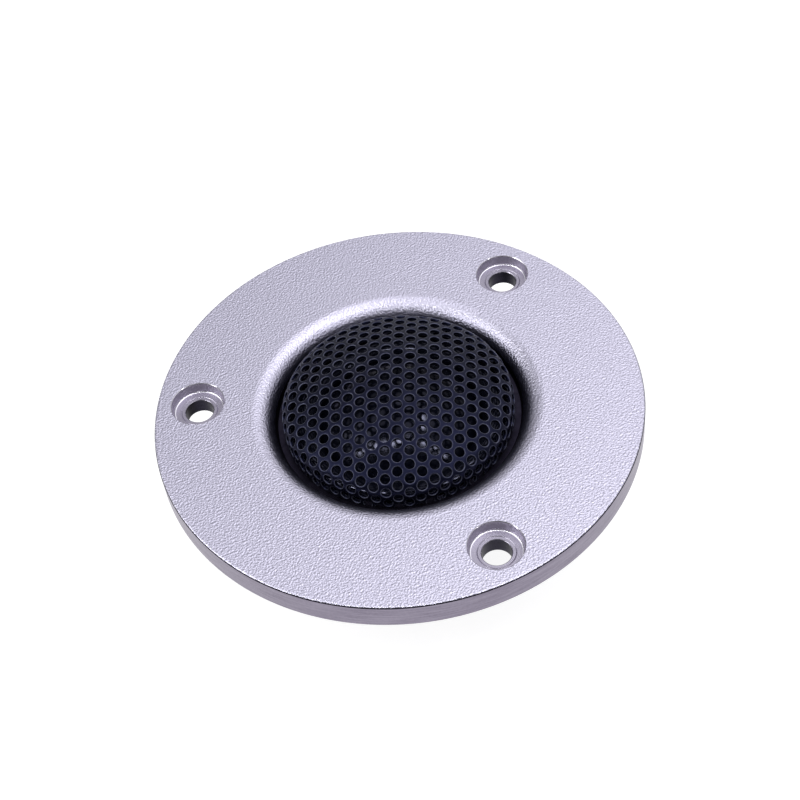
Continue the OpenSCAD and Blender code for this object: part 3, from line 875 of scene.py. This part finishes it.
copper = grained("copper", 0.7, tones=("#b5714d", "#d2936f"), Metallic=1.0, Roughness=0.3)
enamelled = grained(
    "enamelled copper wire", 0.9, tones=("#8f4a22", "#b4662f"),
    Metallic=1.0, Roughness=0.25, Coat_Weight=0.6,
)
solder = grained(
    "tin solder", 0.6, relief=(0.03, 0.5), Base_Color=paint("#cfd1d6"), Metallic=1.0, Roughness=0.2
)

# %% [markdown]
# The soft and fibrous ones. Paper laminate is brown, with fibres that lie in its plane. Felt and wadding
# are loose wool: the bump is deep and fine, and a little sheen stands for the fibres' ends.

# %% Laminate, felt and wadding
laminate, tree, sockets, place = finish_of("paper phenolic laminate", Roughness=0.45)
lying = add(tree, "ShaderNodeMapping", {"Vector": place, "Scale": (1, 0.2, 3)})[0]
fibres = add(tree, "ShaderNodeTexNoise", {"Vector": lying, "Scale": 1 / (0.7 * MM), "Detail": 3})[0]
board_tone = add(
    tree, "ShaderNodeMix", {0: fibres, 6: paint("#5c3a1f"), 7: paint("#80552f")}, data_type="RGBA"
)[2]
tree.links.new(board_tone, sockets["Base Color"])

felt = grained(
    "pressed wool felt", 0.3, detail=4, relief=(0.15, 0.9),
    Base_Color=paint("#56575b"), Roughness=0.95, Sheen_Weight=0.4,
)
wadding = grained(
    "bonded wadding", 0.8, detail=4, relief=(0.3, 0.9),
    Base_Color=paint("#dcd9cf"), Roughness=0.95, Sheen_Weight=0.3,
)

# %% [markdown]
# Most rear pieces are small and their CAD shape is right. Each is taken as a blank, its edges are broken
# as a tool or a mould would leave them, and it gets the finish of its trade.

# %% Rear pieces from their blanks
from_blanks = [
    ("moulded_chassis_ring", "chassis_ring", nylon, 0.2),
    ("moulded_carrier", "diaphragm_carrier", abs_plastic, 0.08),
    ("steel_cup", "yoke_cup", zinc_plate, 0.15),
    ("ring_magnet", "magnet", zinc_plate, 0.2),
    ("steel_pole_plate", "pole_plate", zinc_plate, 0.1),
    ("pressed_cap", "copper_cap", copper, 0),
    ("felt_pad", "dome_felt", felt, 0.2),
    ("felt_plug", "vent_plug", felt, 0.3),
    ("wadding_disc", "chamber_wool", wadding, 0.4),
    ("rubber_seal", "can_seal", rubber, 0.1),
    ("foam_gasket", "gasket", foam, 0.15),
    ("laminate_board", "terminal_board", laminate, 0.08),
    ("wide_tab", "tab_positive", tinned_brass, 0.06),
    ("narrow_tab", "tab_negative", tinned_brass, 0.05),
    ("brass_rivets", "terminal_rivets", tinned_brass, 0.06),
    ("small_screw", "board_screw", zinc_plate, 0.08),
    ("plated_washers", "assembly_washers", zinc_plate, 0.06),
    ("solder_beads", "solder_joints", solder, 0.03),
]
for name, node, finish, broken_edge in from_blanks:
    fit(shade(blank(name, node, broken_edge)), node, finish)
fit(shade(blank("foil_former", "coil_former", 0)), "coil_former", anodised, "diaphragm")
wires = shade(blank("tinsel_wires", "lead_wires", 0))
share_motion(wires, dome_r, roll_end + 1)
fit(wires, "lead_wires", copper, None)
print("pieces from blanks:", len(from_blanks) + 2)

# %% [markdown]
# The can closes the chamber behind the motor. It is turned from bar, so it is spun here from its own
# outline: a bead at the open end, two fine grooves, and a shallow dish with a centre mark in its end.

# %% Rear can
can_low, can_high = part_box("rear_can")
can_r, can_end, can_top = can_high.x / MM, can_low.z / MM, can_high.z / MM
wool_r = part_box("chamber_wool")[1].x / MM
can_in_r, can_floor, can_round = wool_r + 0.5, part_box("chamber_wool")[0].z / MM, 1
mark_r, mark_depth, dish_r, dish_depth, dish_slope = 0.5, 0.25, 12.6, 0.25, 0.4
groove, groove_places = 0.22, (2.2, 3.2)
bead_low, bead_high, bead_depth, bead_slope = 1.3, 0.7, 0.18, 0.2
lip_round = 0.15
can_outline = [
    (0, can_end + dish_depth + mark_depth),
    (mark_r, can_end + dish_depth),
    (dish_r, can_end + dish_depth),
    (dish_r + dish_slope, can_end),
    *arc(can_r - can_round, can_end + can_round, can_round, -90, 0, 8),
]
for z in (can_end + step for step in groove_places):
    can_outline += [(can_r, z - groove), (can_r - groove, z), (can_r, z + groove)]
can_outline += [
    (can_r, can_top - bead_low),
    (can_r - bead_depth, can_top - bead_low + bead_slope),
    (can_r - bead_depth, can_top - bead_high - bead_slope),
    (can_r, can_top - bead_high),
    *arc(can_r - lip_round, can_top - lip_round, lip_round, 0, 90, 3),
    (can_in_r, can_top),
    (can_in_r, can_floor),
    (0, can_floor),
]
can = shade(lathe("turned_can", can_outline), 25)
fit(can, "rear_can", anodised)
print("can: radius", round(can_r, 2), "mm, end at", round(can_end, 2), "mm")

# %% [markdown]
# Three equal screws hold the plastic ring to the flange. One is made in full, with a knurled head and a
# hexagon socket, and Geometry Nodes set it on three points round the axis. The same tree would place
# any number of them, and it ends in real geometry because the export knows no instances.

# %% The tree that sets a piece round the axis
tree, get = new_tree("set round the axis", Piece="Object", Count="Int", Radius="Float", Turn="Float")
circle = add(tree, "GeometryNodeMeshCircle", {"Vertices": get["Count"], "Radius": get["Radius"]})[0]
way = add(tree, "ShaderNodeCombineXYZ", {0: 0.0, 1: 0.0, 2: get["Turn"]})[0]
turned = add(tree, "GeometryNodeTransform", {"Geometry": circle, "Rotation": way})[0]
one = add(tree, "GeometryNodeObjectInfo", {"Object": get["Piece"]})["Geometry"]
placed = add(tree, "GeometryNodeInstanceOnPoints", {"Points": turned, "Instance": one})[0]
real = add(tree, "GeometryNodeRealizeInstances", {0: placed})[0]
done = add(tree, "GeometryNodeSetMaterial", {"Geometry": real, "Material": black_zinc})[0]
add(tree, "NodeGroupOutput", {0: done})

# %% Assembly screws
screw_low, screw_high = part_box("assembly_screws")
head_r, head_h, head_break, knurl_h, flutes = 2.25, 2, 0.3, 0.05, 30
socket_r, socket_depth, socket_point, shaft_point = 1.1, 1.2, 0.2, 0.3
head_end, shaft_end = screw_low.z / MM, screw_high.z / MM
core_r = head_r - knurl_h
screw_outline = [
    (0, head_end),
    (core_r - head_break, head_end),
    (core_r, head_end + head_break),
    (core_r, head_end + head_h - 0.1),
    (core_r - 0.1, head_end + head_h),
    (screw_r, head_end + head_h),
    (screw_r, shaft_end - shaft_point),
    (screw_r - shaft_point, shaft_end),
    (0, shaft_end),
]
screw = lathe("cap_screw", screw_outline, 2 * flutes)
# Every second column of points on the head's side stands out a little, which makes the knurling
for vert in screw.data.vertices:
    out = vert.co.xy.length / MM
    column = round(math.degrees(math.atan2(vert.co.y, vert.co.x)) / (180 / flutes))
    if abs(out - core_r) < 0.01 and column % 2:
        vert.co.xy *= head_r / out
socket_end = head_end + socket_depth
socket = [
    (0, head_end - through),
    (socket_r, head_end - through),
    (socket_r, socket_end),
    (0, socket_end + socket_point),
]
drill(screw, socket, 6)
screws = grow(
    "cap_screws", tree,
    Piece=screw, Count=hole_count, Radius=screw_circle_r * MM,
    Turn=math.radians(first_hole + between_holes / 2),
)
bpy.data.objects.remove(screw)
fit(shade(screws, 25), "assembly_screws", black_zinc)
print("screws:", len(screws.data.polygons), "faces")

# %% [markdown]
# The voice coil is enamelled wire, wound in one neat layer on an aluminium foil former. Its turns are
# rings that repeat along the axis, so a tree stacks them: one ring of wire, instanced on a line of
# points. A true spiral would differ by less than a wire's thickness in each turn.

# %% The tree of the winding
tree, get = new_tree(
    "wound coil", Turns="Int", Wire="Float", Radius="Float", Start="Float", Finish="Material"
)
path = add(tree, "GeometryNodeCurvePrimitiveCircle", {"Resolution": 96, "Radius": get["Radius"]})[0]
profile = add(tree, "GeometryNodeCurvePrimitiveCircle", {"Resolution": 8, "Radius": get["Wire"]})[0]
one = add(tree, "GeometryNodeCurveToMesh", {"Curve": path, "Profile Curve": profile})[0]
step = add(tree, "ShaderNodeMath", {0: get["Wire"], 1: 2.0}, operation="MULTIPLY")[0]
apart = add(tree, "ShaderNodeCombineXYZ", {0: 0.0, 1: 0.0, 2: step})[0]
first = add(tree, "ShaderNodeCombineXYZ", {0: 0.0, 1: 0.0, 2: get["Start"]})[0]
line = add(
    tree, "GeometryNodeMeshLine", {"Count": get["Turns"], "Start Location": first, "Offset": apart}
)[0]
stacked = add(tree, "GeometryNodeInstanceOnPoints", {"Points": line, "Instance": one})[0]
real = add(tree, "GeometryNodeRealizeInstances", {0: stacked})[0]
done = add(tree, "GeometryNodeSetMaterial", {"Geometry": real, "Material": get["Finish"]})[0]
add(tree, "NodeGroupOutput", {0: done})

# %% Winding
wound_low, wound_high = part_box("coil_winding")
turns = 15
wire_r = (wound_high.z - wound_low.z) / MM / turns / 2
winding = grow(
    "wire_winding",
    tree,
    Turns=turns,
    Wire=wire_r * MM,
    Radius=(wound_high.x / MM - wire_r) * MM,
    Start=wound_low.z + wire_r * MM,
    Finish=enamelled,
)
mend(winding)
fit(shade(winding, 60), "coil_winding", enamelled, "diaphragm")
print("winding:", turns, "turns of", round(2 * wire_r, 3), "mm wire")

# %% [markdown]
# The set is a pale table in a room with dim walls, a bright ceiling and a window on the left. That is
# what shapes metal: the flat flange mirrors the far wall halfway up, the mouth's far lip mirrors the
# ceiling, and the near lip mirrors the dim wall and then the black grille. Narrow lamps above the bench
# put small lights on the corners of the metal and on the grille. The table glows a little, so that it
# stays white right up to the tweeter and through the screw holes.

# %% Table
half_table = 30
table = put("table", bpy.data.meshes.new("table"))
form = bmesh.new()
bmesh.ops.create_grid(form, x_segments=1, y_segments=1, size=half_table)
form.to_mesh(table.data)
form.free()
table.data.transform(Matrix.Translation((0, 0, cad_box[0].z)))
table_top = finish_of(
    "pale table", Base_Color=paint("#a0a0a0"), Roughness=0.8, Emission_Color=paint("#ffffff"),
    Emission_Strength=0.88,
)[0]
table.data.materials.append(table_top)

# %% Room
world = bpy.data.worlds.new("workshop")
scene.world = world
world.use_nodes = True
tree = world.node_tree
away = add(tree, "ShaderNodeTexCoord")["Generated"]
up = add(tree, "ShaderNodeSeparateXYZ", {0: away})[2]
walls = add(tree, "ShaderNodeValToRGB", {0: up}, to=tree.nodes["Background"].inputs[0])
ramp = walls[0].node.color_ramp
wall_tint = Vector((0.965, 0.955, 1.0))
levels = [(0.0, 0.30), (0.17, 0.34), (0.42, 0.5), (0.64, 0.81), (0.8, 0.86), (0.88, 1.8), (1.0, 1.5)]
while len(ramp.elements) < len(levels):
    ramp.elements.new(0.5)
for mark, (level, glow) in zip(ramp.elements, levels):
    mark.position = level
    mark.color = [*(wall_tint * glow), 1]
# The viewer's side of the room is dim, and the far wall is a little brighter to the right
far_side = (-math.sin(azimuth), math.cos(azimuth), 0)
right_side = (math.cos(azimuth), math.sin(azimuth), 0)
ahead = add(tree, "ShaderNodeVectorMath", {0: away, 1: far_side}, operation="DOT_PRODUCT")["Value"]
aside = add(tree, "ShaderNodeVectorMath", {0: away, 1: right_side}, operation="DOT_PRODUCT")["Value"]
dim = add(tree, "ShaderNodeMapRange", {0: ahead, 1: -0.65, 2: 0.1, 3: 0.25, 4: 1.0})[0]
lean = add(tree, "ShaderNodeMapRange", {0: aside, 1: -0.2, 2: 0.2, 3: 0.62, 4: 1.32})[0]
add(
    tree, "ShaderNodeMath", {0: dim, 1: lean}, to=tree.nodes["Background"].inputs[1], operation="MULTIPLY"
)


# %% Lamps
def lamp_at(name, place, width, depth, glow, aim_at=None, turn=0.0):
    """A flat lamp that faces down or towards aim_at. Places are in mm, as the viewer sees them."""
    lamp = bpy.data.lights.new(name, "AREA")
    lamp.shape = "RECTANGLE"
    lamp.size = width * MM
    lamp.size_y = depth * MM
    lamp.energy = glow * math.pi * lamp.size * lamp.size_y
    hung = bpy.data.objects.new(name, lamp)
    room = Matrix.Rotation(azimuth, 4, "Z")
    way = Matrix.Rotation(math.radians(turn), 4, "Z")
    if aim_at:
        way = (Vector(aim_at) - Vector(place)).to_track_quat("-Z", "Y").to_matrix().to_4x4()
    hung.matrix_world = room @ Matrix.Translation(Vector(place) * MM) @ way
    scene.collection.objects.link(hung)
    return hung


lamp_at("window", (-680, 0, 610), 730, 550, 1.9, aim_at=(0, 0, 0))
lamp_at("left strip lamp", (-620, -240, 590), 1740, 16, 16)
lamp_at("right strip lamp", (620, -470, 590), 860, 16, 14, turn=-30)
lamp_at("cross lamp", (255, 0, 590), 16, 180, 14)

# %% [markdown]
# The glossy dome shows a row of glints. The narrow lamps are too thin for them, and wider ones would
# flood the metal. So the dome and its surround have three soft strips of their own, flagged off from
# everything else, as a photographer would do with black card. Light linking is that card.

# %% Flagged lamps for the dome
silk = bpy.data.collections.new("what the flagged lamps reach")
silk.objects.link(dome)
silk.objects.link(surround)
for flagged in (
    lamp_at("left dome lamp", (-520, -240, 590), 1240, 60, 44),
    lamp_at("right dome lamp", (620, -470, 590), 860, 60, 36, turn=-30),
    lamp_at("cross dome lamp", (255, 0, 590), 60, 180, 44),
):
    flagged.light_linking.receiver_collection = silk
scene.view_settings.view_transform = "Standard"
